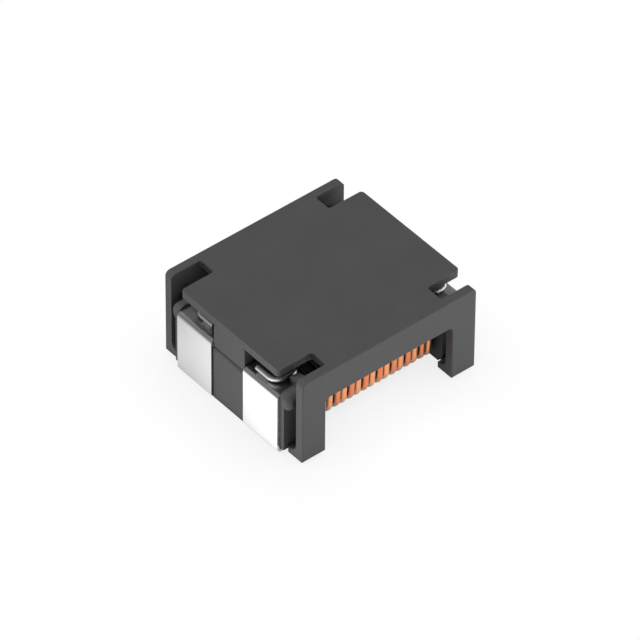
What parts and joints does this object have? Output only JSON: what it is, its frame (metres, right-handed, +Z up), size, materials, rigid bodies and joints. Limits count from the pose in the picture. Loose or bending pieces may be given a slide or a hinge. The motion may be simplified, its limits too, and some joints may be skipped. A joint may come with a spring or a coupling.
{
  "type": "smd common mode choke",
  "caption": "Surface-mount common mode choke: two wires wound together on a ferrite drum core, folded end terminals and a ferrite cover on side legs.",
  "frame": {"origin": "middle of the footprint, on the board plane that the solder pads stand on", "axes": "+X along the winding axis and the side rails, +Y across the part, +Z up from the board"},
  "size_m": [0.012, 0.0108, 0.0054],
  "materials": {
    "ferrite": "matte",
    "tinned_terminal": "satin",
    "enamelled_wire": "gloss",
    "solder": "satin",
    "adhesive": "matte"
  },
  "bodies": {
    "root": {"cover": "ferrite", "drum_core": "ferrite", "terminal_front_left": "tinned_terminal", "terminal_front_right": "tinned_terminal", "terminal_back_left": "tinned_terminal", "terminal_back_right": "tinned_terminal", "winding_near": "enamelled_wire", "winding_far": "enamelled_wire", "solder_front_left": "solder", "solder_front_right": "solder", "solder_back_left": "solder", "solder_back_right": "solder", "bond_left": "adhesive", "bond_right": "adhesive"}
  },
  "joints": []
}
